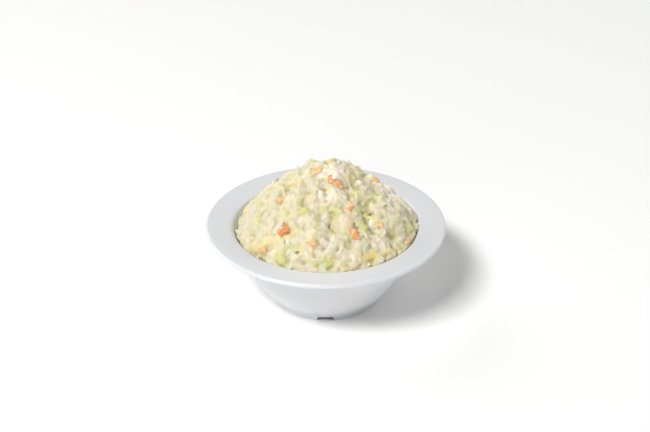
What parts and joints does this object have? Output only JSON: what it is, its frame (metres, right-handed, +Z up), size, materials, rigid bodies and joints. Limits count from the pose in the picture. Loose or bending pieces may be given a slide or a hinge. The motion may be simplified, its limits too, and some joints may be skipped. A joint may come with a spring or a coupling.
{
  "type": "coleslaw in a rimmed bowl",
  "caption": "Creamy chopped coleslaw heaped high in a small round white melamine bowl with a wide flat rim and a notched foot ring, served as a side dish.",
  "frame": {"origin": "on the surface that the bowl stands on, at the middle of its foot ring", "axes": "+Z up along the bowl's axis, -Y towards the front, where one of the foot ring's notches is, +X to the right"},
  "size_m": [0.14, 0.14, 0.0836],
  "materials": {
    "melamine": "smooth moulded white melamine, satin gloss",
    "dressed_cabbage": "chopped white cabbage coated in a thin creamy dressing, moist"
  },
  "bodies": {
    "root": {"bowl": "melamine", "coleslaw": "dressed_cabbage"}
  },
  "joints": []
}
